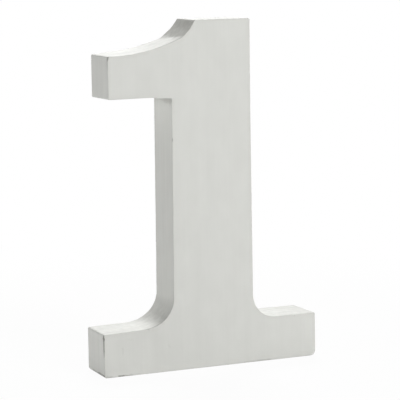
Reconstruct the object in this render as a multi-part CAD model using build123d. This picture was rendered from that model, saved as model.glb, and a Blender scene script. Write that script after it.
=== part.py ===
from build123d import *
import math
import os

# A free-standing wooden numeral 1, cut from one board: a wide foot, an upright stem,
# and a flag that reaches to the left and sweeps up to the top of the stem.
# The origin is the centre of the underside, the front faces -Y, and +Z is up.

# Overall sizes
numeral_height = 150.0
foot_width = 100.0
board_thickness = 20.0

# Foot and stem
foot_height = 19.1
stem_width = 36.7
stem_offset = 1.15           # the stem stands this far to the right of the foot's middle

# Flag
flag_reach = 28.3            # from the stem's left side to the flag's end
flag_end_height = 18.0       # height of the flag's upright end
sweep_rise = 14.0            # from the top of the flag's end to the top of the numeral
top_width = 24.8             # level top, from the end of the sweep to the stem's right side
sweep_middle_slope = 15.5    # degrees, where the long curve runs into the short one
sweep_upper_slope = 56.0     # degrees, where the sweep meets the level top

# Inner curves where the stem runs into the foot
left_foot_curve = 14.6
right_foot_curve = 11.0

# Softened corners of the outline, and the sanded arrises of the front and the back
foot_corner_radius = 2.0
outer_corner_radius = 0.8
inner_corner_radius = 0.6
arris_radius = 0.4

# Places that follow from the sizes
foot_right = foot_width / 2
foot_left = -foot_width / 2
stem_right = stem_offset + stem_width / 2
stem_left = stem_offset - stem_width / 2
flag_left = stem_left - flag_reach
flag_top = numeral_height - sweep_rise
flag_under = flag_top - flag_end_height
top_left = stem_right - top_width


def sweep_radii():
    """Radii of the two tangent arcs that join the flag's end to the level top."""
    run = top_left - flag_left
    middle = math.radians(sweep_middle_slope)
    upper = math.radians(sweep_upper_slope)
    long_rise = 1 - math.cos(middle)
    long_run = math.sin(middle)
    short_rise = math.cos(middle) - math.cos(upper)
    short_run = math.sin(upper) - math.sin(middle)
    share = long_rise * short_run - long_run * short_rise
    long_radius = (sweep_rise * short_run - run * short_rise) / share
    short_radius = (run * long_rise - sweep_rise * long_run) / share
    return long_radius, short_radius


def outline():
    """The numeral's face as a closed sketch, x across and y up."""
    long_radius, short_radius = sweep_radii()
    upper_turn = sweep_upper_slope - sweep_middle_slope
    with BuildSketch() as face:
        with BuildLine():
            long_arc = JernArc((flag_left, flag_top), (1, 0), long_radius, sweep_middle_slope)
            short_arc = JernArc(long_arc @ 1, long_arc % 1, short_radius, upper_turn)
            Polyline(
                short_arc @ 1,
                (stem_right, numeral_height),
                (stem_right, foot_height),
                (foot_right, foot_height),
                (foot_right, 0),
                (foot_left, 0),
                (foot_left, foot_height),
                (stem_left, foot_height),
                (stem_left, flag_under),
                (flag_left, flag_under),
                (flag_left, flag_top),
            )
        make_face()
        round_corner(face, stem_left, foot_height, left_foot_curve)
        round_corner(face, stem_right, foot_height, right_foot_curve)
        round_corner(face, stem_left, flag_under, inner_corner_radius)
        round_corner(face, foot_left, 0, foot_corner_radius)
        round_corner(face, foot_right, 0, foot_corner_radius)
        outer_corners = [
            (foot_left, foot_height),
            (foot_right, foot_height),
            (flag_left, flag_under),
            (flag_left, flag_top),
            (top_left, numeral_height),
            (stem_right, numeral_height),
        ]
        for x, y in outer_corners:
            round_corner(face, x, y, outer_corner_radius)
    return face.sketch


def round_corner(face, x, y, radius):
    """Round the one corner of the sketch that lies at x, y."""
    corner = face.vertices().sort_by_distance((x, y))[0]
    fillet(corner, radius)


def numeral_one():
    """The board: the outline cut through its thickness, with its arrises sanded."""
    board = extrude(Plane.XZ * outline(), amount=board_thickness / 2, both=True)
    front_and_back = board.faces().filter_by(Plane.XZ)
    broad_faces = front_and_back.sort_by(SortBy.AREA)[-2:]
    arrises = [edge for broad_face in broad_faces for edge in broad_face.edges()]
    return fillet(arrises, arris_radius)


def main():
    os.makedirs("parts", exist_ok=True)
    export_step(numeral_one(), "parts/numeral_one.step")


main()
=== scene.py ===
import math

import bmesh
import bpy
from mathutils import Matrix, Vector, noise
from mathutils.geometry import delaunay_2d_cdt


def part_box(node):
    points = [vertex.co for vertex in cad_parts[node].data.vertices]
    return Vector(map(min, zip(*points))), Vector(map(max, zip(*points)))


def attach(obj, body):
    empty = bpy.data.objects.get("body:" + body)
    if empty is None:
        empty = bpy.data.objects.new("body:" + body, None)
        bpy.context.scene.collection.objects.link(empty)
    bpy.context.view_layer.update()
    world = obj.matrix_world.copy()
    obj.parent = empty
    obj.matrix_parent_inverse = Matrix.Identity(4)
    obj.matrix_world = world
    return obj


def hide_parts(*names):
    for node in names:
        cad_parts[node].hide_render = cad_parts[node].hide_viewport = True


# A free-standing wooden numeral 1, painted off-white, on a white studio floor.
# The front faces -Y, +Z is up and the flag points to -X. Lengths are in metres, apart from the
# lists of corners and marks, which are in millimetres.

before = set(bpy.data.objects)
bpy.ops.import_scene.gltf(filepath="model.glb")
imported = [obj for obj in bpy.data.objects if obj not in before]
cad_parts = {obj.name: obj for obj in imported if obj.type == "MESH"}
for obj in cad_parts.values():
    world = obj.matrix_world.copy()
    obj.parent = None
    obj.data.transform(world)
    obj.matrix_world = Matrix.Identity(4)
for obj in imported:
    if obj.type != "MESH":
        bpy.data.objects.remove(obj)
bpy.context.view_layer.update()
MM = 0.001

# The outer walls, from the frame, and in millimetres for the list of corners
NODE = "numeral_one"
low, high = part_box(NODE)
left, right, top = low.x / MM, high.x / MM, high.z / MM

# The outline's corners, anticlockwise: across, up and radius, at the front and at the back.
# It was sawn and sanded by hand, so its walls lean a little and its two sides aren't quite
# the same.
corners = [
    ("foot, lower left", (left, 0.0, 0.8), (left, 0.0, 1.5)),
    ("foot, lower right", (right, 0.0, 2.6), (right, 0.0, 2.0)),
    ("foot, upper right", (49.8, 19.35, 0.6), (49.85, 19.35, 0.9)),
    ("foot, right curve", (19.75, 19.25, 10.8), (19.75, 19.4, 11.0)),
    ("stem, slight dip of the right wall", (19.5, 112.0, 2000.0), (19.5, 112.0, 2000.0)),
    ("stem, top right", (19.65, top, 0.8), (19.65, top, 0.8)),
    ("stem, top left", (-6.2, top, 1.2), (-5.68, top, 0.8)),
    ("sweep, steep end", (-8.02, 146.67, 14.0), (-8.28, 146.4, 16.0)),
    ("sweep, bend", (-11.6, 143.15, 4.2), (-14.0, 141.6, 9.0)),
    ("sweep, long curve", (-27.7, 135.87, 78.0), (-28.0, 137.8, 60.0)),
    ("flag, upper left", (-45.74, 135.87, 0.6), (-45.64, 136.0, 0.8)),
    ("flag, lower left", (-45.74, 117.8, 0.6), (-45.64, 117.8, 0.6)),
    ("flag, upper end of the underside's step", (-25.8, 117.9, 4.0), (-25.8, 117.9, 4.0)),
    ("flag, lower end of the underside's step", (-23.4, 117.4, 4.0), (-23.4, 117.4, 4.0)),
    ("flag, inner corner", (-17.13, 117.2, 0.5), (-17.13, 117.2, 0.5)),
    ("foot, left curve by the stem", (-17.79, 23.04, 12.6), (-17.7, 25.7, 12.2)),
    ("foot, left curve by the foot", (-29.7, 19.42, 20.2), (-27.4, 19.24, 15.8)),
    ("foot, upper left", (left, 18.75, 0.6), (left, 18.75, 0.8)),
]

# Fineness of the mesh along the outline, over the arrises and through the board
outline_spacing = 0.55 * MM
least_corner_steps = 6
least_wall_steps = 2
arris_steps = 6
depth_steps = 15

# Rings of points beside the arrises, by their distance from them
front_margins = [distance * MM for distance in (0.12, 0.26, 0.4, 0.54, 0.68, 0.84, 1.04, 1.3)]
back_margins = [distance * MM for distance in (0.1, 0.4, 0.8)]
face_margin = 0.1 * MM

# Points on the faces: fine ones round the marks, and every fourth one elsewhere. They keep clear
# of the border by a share of their own spacing. The fine ones start this many half widths
# outside a mark's ends.
mark_spacing = 0.3 * MM
mark_step = 1
face_step = 4
mark_clearance = 1.0
face_clearance = 0.6
mark_surroundings = 1.5

# How the faces are filled: points nearer than this become one, and what lies outside the border
# is left out
weld_distance = 1e-7
fill_inside_border = 1

# Sanded arrises: their radius, how it changes, and how far their wear and painted shade reach
arris_radius = 0.3 * MM
arris_change = 0.1 * MM
arris_patch = 9.0 * MM
arris_side_gap = 50 * MM
edge_reach = 1.6 * MM
edge_of_face = 0.6

# The small unevenness of a hand-finished board, which starts above its level underside
wave_depth = 0.04 * MM
wave_patch = 15.0 * MM
wave_start = 4.0 * MM

# The sweep's steep upper end, past its bend, gets painted shade: darker paint that starts
# unevenly at these heights at the front and at the back.
shaded_from = (140.95 * MM, 143.0 * MM)
shade_climb = 1.6 * MM
shade_waver = 1.7 * MM
shade_patch = 2.6 * MM
shade_tilt = 0.15

# The same painted shade darkens the end grain in the foot's left hollow, between these heights
hollow_rise = (19.7 * MM, 21.6 * MM)
hollow_fall = (23.3 * MM, 25.6 * MM)
hollow_waver = 0.4 * MM
hollow_share = 0.5

# Marks in the surface, as the photograph shows them: where each starts and ends, its half
# width and its depth at both ends, and how dark it is; at some, the darkness is painted shade
marks = [
    # Split beside the foot's front left arris, in four lengths, darkened inside with painted shade
    ((-50.0, -9.15, 17.9), (-50.0, -9.15, 17.0), (0.62, 0.86), (0.50, 0.60), 1.0),
    ((-50.0, -9.15, 17.0), (-50.0, -9.20, 15.6), (0.86, 0.50), (0.60, 0.34), 1.0),
    ((-50.0, -9.20, 15.6), (-50.0, -9.25, 11.5), (0.50, 0.46), (0.34, 0.20), 0.92),
    ((-50.0, -9.25, 11.5), (-50.0, -9.30, 8.8), (0.46, 0.10), (0.20, 0.05), 0.8),
    # Chip at the flag's front upper corner, and the rubbed stretch below it
    ((-45.74, -9.60, 135.8), (-45.74, -9.45, 134.3), (0.85, 0.45), (0.35, 0.20), 0.5),
    ((-45.74, -9.30, 134.3), (-45.74, -9.40, 130.0), (0.50, 0.20), (0.05, 0.03), 0.2),
    # Painted shade on the stem under the flag
    ((-17.15, 5.00, 116.8), (-17.15, -2.00, 116.2), (0.60, 1.50), (0.02, 0.03), 0.12),
    ((-17.15, -2.00, 116.2), (-17.15, -8.20, 116.1), (1.50, 1.50), (0.03, 0.03), 0.18),
    # Nick in the stem's front left arris
    ((-17.25, -9.90, 99.9), (-17.25, -9.90, 99.3), (0.40, 0.30), (0.25, 0.20), 0.45),
    # Shallow saw mark along the front arris of the sweep, below its bend, darkened with painted shade
    ((-11.70, -9.90, 142.96), (-12.35, -9.90, 142.82), (0.20, 0.32), (0.05, 0.05), 0.16),
    ((-12.35, -9.90, 142.82), (-16.17, -9.90, 141.21), (0.32, 0.34), (0.05, 0.05), 0.22),
    ((-16.17, -9.90, 141.21), (-20.08, -9.90, 139.80), (0.34, 0.32), (0.05, 0.05), 0.18),
    ((-20.08, -9.90, 139.80), (-24.05, -9.90, 138.60), (0.32, 0.26), (0.05, 0.05), 0.14),
    ((-24.05, -9.90, 138.60), (-28.08, -9.90, 137.62), (0.26, 0.14), (0.05, 0.05), 0.08),
    # Saw mark along the front arris of the left curve
    ((-17.73, -9.75, 32.12), (-18.14, -9.75, 29.01), (0.16, 0.30), (0.06, 0.06), 0.06),
    ((-18.14, -9.75, 29.01), (-19.31, -9.75, 26.09), (0.30, 0.34), (0.06, 0.06), 0.14),
    ((-19.31, -9.75, 26.09), (-21.16, -9.75, 23.56), (0.34, 0.36), (0.06, 0.06), 0.16),
    ((-21.16, -9.75, 23.56), (-23.58, -9.75, 21.56), (0.36, 0.36), (0.06, 0.06), 0.20),
    ((-23.58, -9.75, 21.56), (-26.42, -9.75, 20.23), (0.36, 0.32), (0.06, 0.06), 0.24),
    ((-26.50, -9.75, 20.20), (-29.74, -9.75, 19.42), (0.36, 0.36), (0.06, 0.06), 0.22),
    ((-29.74, -9.75, 19.42), (-33.07, -9.75, 19.14), (0.36, 0.16), (0.06, 0.06), 0.30),
    # Painted shadow along the lower arris at the foot's left end and front, over shallow dents
    ((-49.9, 5.50, 0.50), (-49.8, -1.00, 0.45), (0.50, 0.75), (0.03, 0.05), 0.45),
    ((-49.8, -1.00, 0.45), (-49.75, -9.20, 0.45), (0.75, 0.80), (0.05, 0.07), 0.65),
    ((-49.3, -9.85, 0.05), (-46.0, -9.90, 0.00), (0.50, 0.30), (0.05, 0.02), 0.3),
    ((-43.4, -9.90, 0.15), (-41.4, -9.90, 0.25), (0.50, 0.55), (0.04, 0.05), 0.65),
    ((-41.4, -9.90, 0.20), (-37.0, -9.90, 0.10), (0.40, 0.25), (0.04, 0.02), 0.3),
    # Painted shadow along the front of the lower arris, right of the middle, over shallow dents
    ((15.0, -9.95, 0.60), (21.6, -9.95, 0.45), (0.20, 0.36), (0.02, 0.04), 0.14),
    ((21.6, -9.95, 0.45), (28.0, -9.95, 0.40), (0.36, 0.20), (0.04, 0.02), 0.26),
    # Faint dents in the front of the foot
    ((-41.9, -10.0, 11.9), (-41.9, -10.0, 9.6), (0.55, 0.45), (0.06, 0.04), 0.04),
    ((-39.8, -10.0, 15.7), (-37.4, -10.0, 15.4), (0.40, 0.40), (0.03, 0.03), 0.02),
    ((-20.7, -10.0, 10.9), (-20.2, -10.0, 10.4), (0.90, 0.70), (0.04, 0.03), 0.02),
]

# How much a mark's half width varies, over what distance, and how fast it darkens inwards
mark_wobble = 0.3
mark_patch = 1.1 * MM
mark_contrast = 2

# Studio light: the room's own level, and each lamp's name, direction, distance, width and level
room_level = 0.0
lamps = [
    ("key", (0.33, -0.85, 0.45), 3.0, 1.5, 0.748),
    ("back", (0.25, 0.65, 0.7), 1.6, 0.65, 0.765),
    ("left", (-1.0, 0.0, 0.07), 1.6, 0.4, 0.335),
]
white = (1, 1, 1, 1)
white_level = 1.0

# The floor: its colour, the share of plain white near the object, its width, and between which
# distances the plain white becomes all of it
floor_colour = (0.82, 0.82, 0.82, 1)
floor_glow = 0.96
floor_size = 40.0
shadow_reach = (0.12, 0.35)

# Camera, at the photograph's place: its angles in degrees, its lens and sensor in millimetres,
# and how near and how far it sees
camera_place = (-321.7 * MM, -732.6 * MM, 178.3 * MM)
camera_turn = -23.673
camera_dip = 7.587
camera_roll = -0.908
camera_lens = 167.6
camera_sensor = 36.0
camera_reach = (0.01, 20.0)

# Paint and wood, as linear colours
paint_shade = (0.64, 0.645, 0.61, 1)
paint_light = (0.76, 0.765, 0.73, 1)
# Rubbed paint along the arrises, which is also painted shade that keeps them dark
rubbed_paint_and_edge_shade = (0.56, 0.555, 0.52, 1)
# Painted shade for the sweep's steep end and the foot's left hollow
painted_shade_colour = (0.38, 0.38, 0.35, 1)
bare_wood = (0.42, 0.36, 0.27, 1)
# Colour of the marks: wood at the chip and nick, and painted shade in the split and at the shade marks
mark_wood_and_shade = (0.075, 0.068, 0.055, 1)
paint_roughness = 0.6
gloss_change = 0.12

# Grains to the metre along X, Y and Z, and how much finer detail they have
fibre_grain = (1000, 1000, 28)
sanding_grain = (38, 700, 300)
figure_grain = (190, 420, 9)
mottle_grain = (130, 130, 80)
saw_grain = (420, 420, 420)
pimple_grain = (900, 900, 900)
streak_detail = 3.0
patch_detail = 2.0
pimple_detail = 1.0

# How far a surface faces along Z or X before its cut counts as end grain or as side grain
end_grain_tilt = (0.35, 0.85)
side_grain_tilt = (0.5, 0.9)

# How strongly each shows in the colour
streak_on_face = 0.2
streak_on_side = 0.5
streak_on_end = 2.4
saw_strength = 1.6
figure_strength = 0.25
mottle_strength = 0.55
edge_shade = 0.35
# Strength of the painted shade on the sweep's steep end and in the left hollow
painted_shade_strength = 0.8
bare_share = 0.4

# Between which values of a grain's noise its spots change, and their share at the first and at
# the second
shade_spots = (0.3, 0.7, 1.0, 0.75)
rubbed_and_shaded_spots = (0.3, 0.7, 0.4, 1.0)
bare_spots = (0.66, 0.78, 0.0, 1.0)

# How high the pimples and the streaks stand, and how much streaks stand out in any case
pimple_height = 0.006 * MM
streak_height = 0.014 * MM
least_relief = 0.4


def between(first, second, share):
    """A value, or a row of values, part of the way from first to second."""
    if isinstance(first, tuple):
        return tuple(a + (b - a) * share for a, b in zip(first, second))
    return first + (second - first) * share


def climb(value, start, end):
    """How far a value has got from start to end, from 0 to 1."""
    return min(1, max(0, (value - start) / (end - start)))


def share_at(y):
    """How far from front to back a depth lies."""
    return (y - low.y) / (high.y - low.y)


def corners_at(share):
    """The outline's corners in metres; share is 0 at the front and 1 at the back."""
    return [tuple(size * MM for size in between(front, back, share)) for _, front, back in corners]


def arcs_at(bends):
    """Start, end and centre of each corner's arc, round a polygon of corners with radii."""
    arcs = []
    for index, (x, z, radius) in enumerate(bends):
        here = Vector((x, z))
        before = (Vector(bends[index - 1][:2]) - here).normalized()
        after = (Vector(bends[(index + 1) % len(bends)][:2]) - here).normalized()
        half = before.angle(after) / 2
        tangent = radius / math.tan(half)
        centre = here + (before + after).normalized() * (radius / math.sin(half))
        arcs.append((here + before * tangent, here + after * tangent, centre))
    return arcs


def point_counts(bends):
    """Steps for each corner's arc and for the wall after it."""
    arcs = arcs_at(bends)
    counts = []
    for index, (start, end, centre) in enumerate(arcs):
        first = start - centre
        length = first.length * first.angle(end - centre)
        wall = arcs[(index + 1) % len(arcs)][0] - end
        bend_steps = max(least_corner_steps, round(length / outline_spacing))
        wall_steps = max(least_wall_steps, round(wall.length / outline_spacing))
        counts.append((bend_steps, wall_steps))
    return counts


def rounded(bends, counts):
    """Points round a polygon whose corners are arcs, the same number at every depth."""
    arcs = arcs_at(bends)
    points = []
    for index, (start, end, centre) in enumerate(arcs):
        bend_steps, wall_steps = counts[index]
        first = start - centre
        turn = first.angle_signed(end - centre)
        for step in range(bend_steps):
            points.append(centre + Matrix.Rotation(-turn * step / bend_steps, 2) @ first)
        wall = arcs[(index + 1) % len(arcs)][0] - end
        for step in range(wall_steps):
            points.append(end + wall * step / wall_steps)
    return points


def outward_normals(points):
    """Unit normals of a closed anticlockwise line of points."""
    normals = []
    for index in range(len(points)):
        along = points[(index + 1) % len(points)] - points[index - 1]
        normals.append(Vector((along.y, -along.x)).normalized())
    return normals


def arris_at(x, z, side):
    """Radius of the sanded arris at one place of the outline."""
    change = noise.noise(Vector((x, side * arris_side_gap, z)) / arris_patch)
    return arris_radius + arris_change * change


def wave_at(place):
    """How far the board's surface dips at a place, none of it near the floor."""
    share = climb(place.z - low.z, 0, wave_start)
    return wave_depth * share * (1 + noise.noise(place / wave_patch)) / 2


def painted_shade_at(place, facing):
    """How much painted shade darkens a place on the sweep's steep end or in the foot's left hollow."""
    if facing.x > -shade_tilt:
        return 0.0
    waver = noise.noise(place / shade_patch)
    start = between(*shaded_from, share_at(place.y)) - shade_waver * waver
    on_sweep = climb(place.z, start, start + shade_climb)
    height = place.z + hollow_waver * waver
    in_hollow = climb(height, *hollow_rise) * (1 - climb(height, *hollow_fall))
    return max(on_sweep, hollow_share * in_hollow)


def mark_at(place):
    """Depth and darkness of the marks at a place."""
    depth = 0.0
    dark = 0.0
    uneven = 1 + mark_wobble * noise.noise(place / mark_patch)
    for first, last, half_widths, depths, shade in marks:
        start = Vector(first) * MM
        along = Vector(last) * MM - start
        share = min(1, max(0, (place - start).dot(along) / along.length_squared))
        half_width = between(*half_widths, share) * MM * uneven
        nearness = 1 - ((place - start - along * share).length / half_width) ** 2
        if nearness > 0:
            depth = max(depth, between(*depths, share) * MM * nearness)
            dark = max(dark, shade * min(1, mark_contrast * nearness))
    return depth, dark


def profile():
    """Steps from the front face over the front arris, the wall and the back arris to the back face."""
    quarter = [(math.pi / 2) * step / arris_steps for step in range(arris_steps + 1)]
    steps = [("front face", face_margin)]
    steps += [("front arris", angle) for angle in quarter]
    steps += [("front margin", margin) for margin in front_margins]
    steps += [("wall", step / depth_steps) for step in range(1, depth_steps)]
    steps += [("back margin", margin) for margin in reversed(back_margins)]
    steps += [("back arris", angle) for angle in reversed(quarter)]
    steps += [("back face", face_margin)]
    return steps


def section_point(kind, value, front_radius, back_radius):
    """Inset, y, the angle from the face's normal, the side and the nearness to the arris."""
    radius = front_radius if kind.startswith("front") else back_radius
    side = -1 if kind.startswith("front") else 1
    surface = low.y if side < 0 else high.y
    front_end = low.y + front_radius + front_margins[-1]
    back_end = high.y - back_radius - back_margins[-1]
    if kind == "wall":
        return 0.0, between(front_end, back_end, value), math.pi / 2, 1, 0.0
    if kind.endswith("margin"):
        return 0.0, surface - side * (radius + value), math.pi / 2, side, 1 - value / edge_reach
    if kind.endswith("face"):
        return radius + value, surface, 0.0, side, edge_of_face
    inset = radius * (1 - math.sin(value))
    return inset, surface - side * radius * (1 - math.cos(value)), value, side, 1.0


def worn_vert(mesh, layers, place, facing, edge):
    """A point of the mesh, moved inwards by the board's waves and marks."""
    depth, dark = mark_at(place)
    vert = mesh.verts.new(place - facing * (depth + wave_at(place)))
    vert[layers["edge"]] = edge
    vert[layers["dark"]] = dark
    vert[layers["painted_shade"]] = painted_shade_at(place, facing)
    return vert


def build_rings(mesh, layers):
    """Rings of points over the arrises and the walls, joined by quads."""
    counts = point_counts(corners_at(0.5))
    rings = []
    for kind, value in profile():
        middle = section_point(kind, value, arris_radius, arris_radius)[1]
        points = rounded(corners_at(share_at(middle)), counts)
        ring = []
        for point, normal in zip(points, outward_normals(points)):
            radii = arris_at(point.x, point.y, -1), arris_at(point.x, point.y, 1)
            inset, y, angle, side, edge = section_point(kind, value, *radii)
            place = Vector((point.x - normal.x * inset, y, point.y - normal.y * inset))
            across = math.sin(angle)
            facing = Vector((normal.x * across, side * math.cos(angle), normal.y * across))
            ring.append(worn_vert(mesh, layers, place, facing, edge))
        rings.append(ring)
    for ring, following in zip(rings, rings[1:]):
        for index in range(len(ring)):
            after = (index + 1) % len(ring)
            mesh.faces.new((ring[index], following[index], following[after], ring[after]))
    return rings


def stands_inside(border, x, z, clear):
    """Whether a point lies inside the border and clear of it."""
    here = Vector((x, z))
    inside = False
    for index, point in enumerate(border):
        previous = border[index - 1]
        if (point - here).length_squared < clear * clear:
            return False
        if (point.y > z) != (previous.y > z):
            cross = (previous.x - point.x) * (z - point.y) / (previous.y - point.y) + point.x
            if x < cross:
                inside = not inside
    return inside


def lattice(border, corner, opposite, step, clearance):
    """Staggered places between two corners, inside the border and clear of it.

    They count in half mark spacings, so that coarse and fine ones share one lattice."""
    places = set()
    spacing = step * mark_spacing
    for row in range(math.ceil(corner.y / spacing), math.floor(opposite.y / spacing) + 1):
        for column in range(math.ceil(corner.x / spacing), math.floor(opposite.x / spacing) + 1):
            place = ((2 * column + row % 2) * step, 2 * row * step)
            x, z = Vector(place) * mark_spacing / 2
            if stands_inside(border, x, z, clearance * spacing):
                places.add(place)
    return places


def places_at_marks(border):
    """Fine places on the front face, round the marks that reach it."""
    places = set()
    for first, last, half_widths, _, _ in marks:
        if first[1] * MM <= low.y + face_margin:
            reach = max(half_widths) * mark_surroundings
            corner = Vector((min(first[0], last[0]) - reach, min(first[2], last[2]) - reach)) * MM
            opposite = Vector((max(first[0], last[0]) + reach, max(first[2], last[2]) + reach)) * MM
            places |= lattice(border, corner, opposite, mark_step, mark_clearance)
    return places


def fill_face(mesh, layers, ring, side):
    """Fill a broad face with even triangles inside its ring, and finer ones at the front's marks."""
    surface = low.y if side < 0 else high.y
    border = [Vector((vert.co.x, vert.co.z)) for vert in ring]
    corner, opposite = Vector((low.x, low.z)), Vector((high.x, high.z))
    places = lattice(border, corner, opposite, face_step, face_clearance)
    if side < 0:
        places |= places_at_marks(border)
    inner = [Vector(place) * mark_spacing / 2 for place in sorted(places)]
    edges = [(index, (index + 1) % len(border)) for index in range(len(border))]
    filled = delaunay_2d_cdt(border + inner, edges, [], fill_inside_border, weld_distance)
    points, _, faces, origins, _, _ = filled
    verts = []
    for point, origin in zip(points, origins):
        if origin and origin[0] < len(ring):
            verts.append(ring[origin[0]])
        else:
            place = Vector((point.x, surface, point.y))
            verts.append(worn_vert(mesh, layers, place, Vector((0, side, 0)), 0.0))
    for face in faces:
        face_verts = [verts[index] for index in face]
        mesh.faces.new(face_verts if side < 0 else reversed(face_verts))


def build_board():
    """The numeral's mesh: rings over the arrises and walls, and two filled faces."""
    mesh = bmesh.new()
    layers = {name: mesh.verts.layers.float.new(name) for name in ("edge", "dark", "painted_shade")}
    rings = build_rings(mesh, layers)
    fill_face(mesh, layers, rings[0], -1)
    fill_face(mesh, layers, rings[-1], 1)
    data = bpy.data.meshes.new("painted_numeral")
    mesh.to_mesh(data)
    mesh.free()
    data.shade_smooth()
    board = bpy.data.objects.new("painted_numeral", data)
    bpy.context.scene.collection.objects.link(board)
    return board


def add(tree, kind, sockets=None, **settings):
    """A new node with its settings, and with its sockets linked or given plain values."""
    node = tree.nodes.new(kind)
    for name, value in settings.items():
        setattr(node, name, value)
    for name, value in (sockets or {}).items():
        if isinstance(value, bpy.types.NodeSocket):
            tree.links.new(value, node.inputs[name])
        else:
            node.inputs[name].default_value = value
    return node


def reckon(tree, operation, first, second=0.0):
    """The result of one sum on node outputs and numbers."""
    return add(tree, "ShaderNodeMath", {0: first, 1: second}, operation=operation).outputs[0]


def centred(tree, value, strength):
    """How far a noise from 0 to 1 lies from its middle, times a strength."""
    return reckon(tree, "MULTIPLY", reckon(tree, "SUBTRACT", value, 0.5), strength)


def ramp(tree, value, start, end, lowest=0.0, highest=1.0):
    """A smooth climb from lowest to highest while value goes from start to end."""
    sockets = {"Value": value, "From Min": start, "From Max": end, "To Min": lowest, "To Max": highest}
    return add(tree, "ShaderNodeMapRange", sockets, interpolation_type="SMOOTHSTEP").outputs[0]


def grain(tree, place, per_metre, detail):
    """Noise from 0 to 1 with this many grains to the metre along X, Y and Z."""
    scaled = add(tree, "ShaderNodeVectorMath", {0: place, 1: per_metre}, operation="MULTIPLY")
    sockets = {"Vector": scaled.outputs[0], "Scale": 1.0, "Detail": detail}
    return add(tree, "ShaderNodeTexNoise", sockets).outputs["Fac"]


def blend_value(tree, share, first, second):
    """A value part of the way from first to second; a mix node takes them at sockets 2 and 3."""
    return add(tree, "ShaderNodeMix", {"Factor": share, 2: first, 3: second}).outputs[0]


def blend_colour(tree, share, first, second):
    """A colour part of the way from first to second; a mix node takes them at sockets 6 and 7."""
    sockets = {"Factor": share, 6: first, 7: second}
    return add(tree, "ShaderNodeMix", sockets, data_type="RGBA").outputs[2]


def cut_of_surface(tree, where):
    """How far the surface shows end grain, and how far it shows side grain."""
    facing = add(tree, "ShaderNodeSeparateXYZ", {0: where.outputs["Normal"]})
    end_grain = ramp(tree, reckon(tree, "ABSOLUTE", facing.outputs["Z"]), *end_grain_tilt)
    side_grain = ramp(tree, reckon(tree, "ABSOLUTE", facing.outputs["X"]), *side_grain_tilt)
    return end_grain, side_grain


def streak_strength(tree, end_grain, side_grain):
    """How strongly the streaks show, which depends on the way the surface was cut."""
    strength = reckon(tree, "ADD", streak_on_face, reckon(tree, "MULTIPLY", end_grain, streak_on_end))
    return reckon(tree, "ADD", strength, reckon(tree, "MULTIPLY", side_grain, streak_on_side))


def worn_and_shaded_paint(tree, paint, mottle, streaks, saw_marks):
    """Painted shade on the sweep's steep end and the left hollow; rubbed paint with painted shade
    along the arrises, rubbed through in spots; and the marks.
    """
    edge, dark, painted_shade = (
        add(tree, "ShaderNodeAttribute", attribute_name=name).outputs["Fac"]
        for name in ("edge", "dark", "painted_shade")
    )
    # Painted shade on the sweep's steep end and in the left hollow, in spots
    shaded = reckon(tree, "MULTIPLY", painted_shade, ramp(tree, saw_marks, *shade_spots))
    paint = blend_colour(tree, reckon(tree, "MULTIPLY", shaded, painted_shade_strength), paint, painted_shade_colour)
    # Rubbed paint along the arrises, with painted shade there
    rubbed_and_shaded = reckon(tree, "MULTIPLY", edge, ramp(tree, mottle, *rubbed_and_shaded_spots))
    paint = blend_colour(tree, reckon(tree, "MULTIPLY", rubbed_and_shaded, edge_shade), paint, rubbed_paint_and_edge_shade)
    bare = reckon(tree, "MULTIPLY", edge, ramp(tree, streaks, *bare_spots))
    paint = blend_colour(tree, reckon(tree, "MULTIPLY", bare, bare_share), paint, bare_wood)
    # The marks' colour, partly painted shade
    return blend_colour(tree, dark, paint, mark_wood_and_shade), dark


def relief(tree, place, streaks, strength):
    """The paint's pimples, and the streaks that stand out through it."""
    sockets = {"Height": grain(tree, place, pimple_grain, pimple_detail), "Distance": pimple_height}
    pimples = add(tree, "ShaderNodeBump", sockets).outputs[0]
    height = reckon(tree, "MULTIPLY", streaks, reckon(tree, "ADD", strength, least_relief))
    sockets = {"Height": height, "Distance": streak_height, "Normal": pimples}
    return add(tree, "ShaderNodeBump", sockets).outputs[0]


def painted_wood():
    """Satin off-white paint that shows the upright grain, the sanding, the rubbed arrises and painted
    shade.
    """
    material = bpy.data.materials.new("painted_wood")
    material.use_nodes = True
    tree = material.node_tree
    shader = tree.nodes["Principled BSDF"]
    where = add(tree, "ShaderNodeTexCoord")
    place = where.outputs["Object"]
    end_grain, side_grain = cut_of_surface(tree, where)
    strength = streak_strength(tree, end_grain, side_grain)

    fibres = grain(tree, place, fibre_grain, streak_detail)
    sanding = grain(tree, place, sanding_grain, streak_detail)
    figure = grain(tree, place, figure_grain, patch_detail)
    mottle = grain(tree, place, mottle_grain, patch_detail)
    saw_marks = grain(tree, place, saw_grain, patch_detail)
    streaks = blend_value(tree, end_grain, fibres, sanding)

    tone = reckon(tree, "ADD", 0.5, centred(tree, streaks, strength))
    rough = reckon(tree, "MULTIPLY", centred(tree, saw_marks, saw_strength), end_grain)
    tone = reckon(tree, "ADD", tone, rough)
    tone = reckon(tree, "ADD", tone, centred(tree, figure, figure_strength))
    tone = reckon(tree, "ADD", tone, centred(tree, mottle, mottle_strength))
    paint = blend_colour(tree, tone, paint_shade, paint_light)
    colour, dark = worn_and_shaded_paint(tree, paint, mottle, streaks, saw_marks)
    tree.links.new(colour, shader.inputs["Base Color"])

    gloss = reckon(tree, "ADD", paint_roughness, centred(tree, mottle, gloss_change))
    tree.links.new(reckon(tree, "MAXIMUM", gloss, dark), shader.inputs["Roughness"])
    tree.links.new(relief(tree, place, streaks, strength), shader.inputs["Normal"])
    return material


def seen_directly(tree, share):
    """A node output that is share for camera, glossy and transmission rays, and 0 for the rest."""
    path = add(tree, "ShaderNodeLightPath").outputs
    seen = reckon(tree, "MAXIMUM", path["Is Camera Ray"], path["Is Glossy Ray"])
    seen = reckon(tree, "MAXIMUM", seen, path["Is Transmission Ray"])
    return reckon(tree, "MULTIPLY", seen, share)


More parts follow.
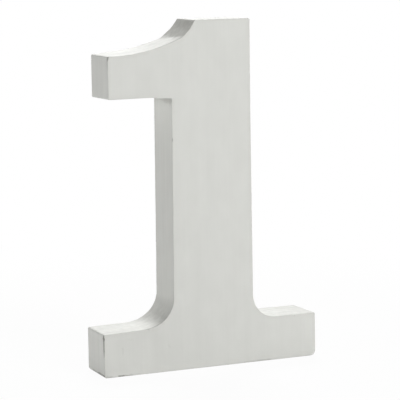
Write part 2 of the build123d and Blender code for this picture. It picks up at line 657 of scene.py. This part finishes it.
def white_floor():
    """A white studio floor that keeps a faint shadow where the camera looks at it."""
    bpy.ops.mesh.primitive_plane_add(size=floor_size, location=(0, 0, low.z))
    floor = bpy.context.object
    floor.name = "floor"
    material = bpy.data.materials.new("white_floor")
    material.use_nodes = True
    tree = material.node_tree
    tree.nodes.remove(tree.nodes["Principled BSDF"])
    paper = add(tree, "ShaderNodeBsdfDiffuse", {"Color": floor_colour})
    glow = add(tree, "ShaderNodeEmission", {"Color": white, "Strength": white_level})
    place = add(tree, "ShaderNodeTexCoord").outputs["Object"]
    away = add(tree, "ShaderNodeVectorMath", {0: place}, operation="LENGTH").outputs["Value"]
    share = ramp(tree, away, *shadow_reach, floor_glow, 1.0)
    sockets = {0: seen_directly(tree, share), 1: paper.outputs[0], 2: glow.outputs[0]}
    mix = add(tree, "ShaderNodeMixShader", sockets)
    tree.links.new(mix.outputs[0], tree.nodes["Material Output"].inputs["Surface"])
    floor.data.materials.append(material)


def studio_world():
    """An unlit room, with plain white behind the object."""
    world = bpy.data.worlds.new("studio")
    bpy.context.scene.world = world
    world.use_nodes = True
    tree = world.node_tree
    room = tree.nodes["Background"]
    room.inputs["Color"].default_value = white
    room.inputs["Strength"].default_value = room_level
    backdrop = add(tree, "ShaderNodeBackground", {"Color": white, "Strength": white_level})
    sockets = {0: seen_directly(tree, 1.0), 1: room.outputs[0], 2: backdrop.outputs[0]}
    mix = add(tree, "ShaderNodeMixShader", sockets)
    tree.links.new(mix.outputs[0], tree.nodes["World Output"].inputs["Surface"])


def soft_lamp(name, toward, distance, size, level):
    """A square soft lamp; level is how bright a white card that faces it would look."""
    data = bpy.data.lights.new(name, "AREA")
    data.shape = "SQUARE"
    data.size = size
    data.energy = level * (math.pi * distance) ** 2
    lamp = bpy.data.objects.new(name, data)
    centre = Vector((0, 0, (low.z + high.z) / 2))
    direction = Vector(toward).normalized()
    lamp.location = centre + direction * distance
    lamp.rotation_euler = direction.to_track_quat("Z", "Y").to_euler()
    bpy.context.scene.collection.objects.link(lamp)


def camera():
    """The camera at the photograph's place, turned, tipped and rolled as there."""
    data = bpy.data.cameras.new("camera")
    data.sensor_width = camera_sensor
    data.lens = camera_lens
    data.clip_start, data.clip_end = camera_reach
    viewer = bpy.data.objects.new("camera", data)
    turn = Matrix.Rotation(math.radians(camera_turn), 4, "Z")
    tip = Matrix.Rotation(math.radians(90 - camera_dip), 4, "X")
    roll = Matrix.Rotation(math.radians(camera_roll), 4, "Z")
    viewer.matrix_world = Matrix.Translation(camera_place) @ turn @ tip @ roll
    bpy.context.scene.collection.objects.link(viewer)
    bpy.context.scene.camera = viewer


def main():
    board = build_board()
    board.data.materials.append(painted_wood())
    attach(board, "root")
    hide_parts(NODE)
    white_floor()
    studio_world()
    for lamp in lamps:
        soft_lamp(*lamp)
    camera()
    bpy.context.scene.view_settings.view_transform = "Standard"


main()
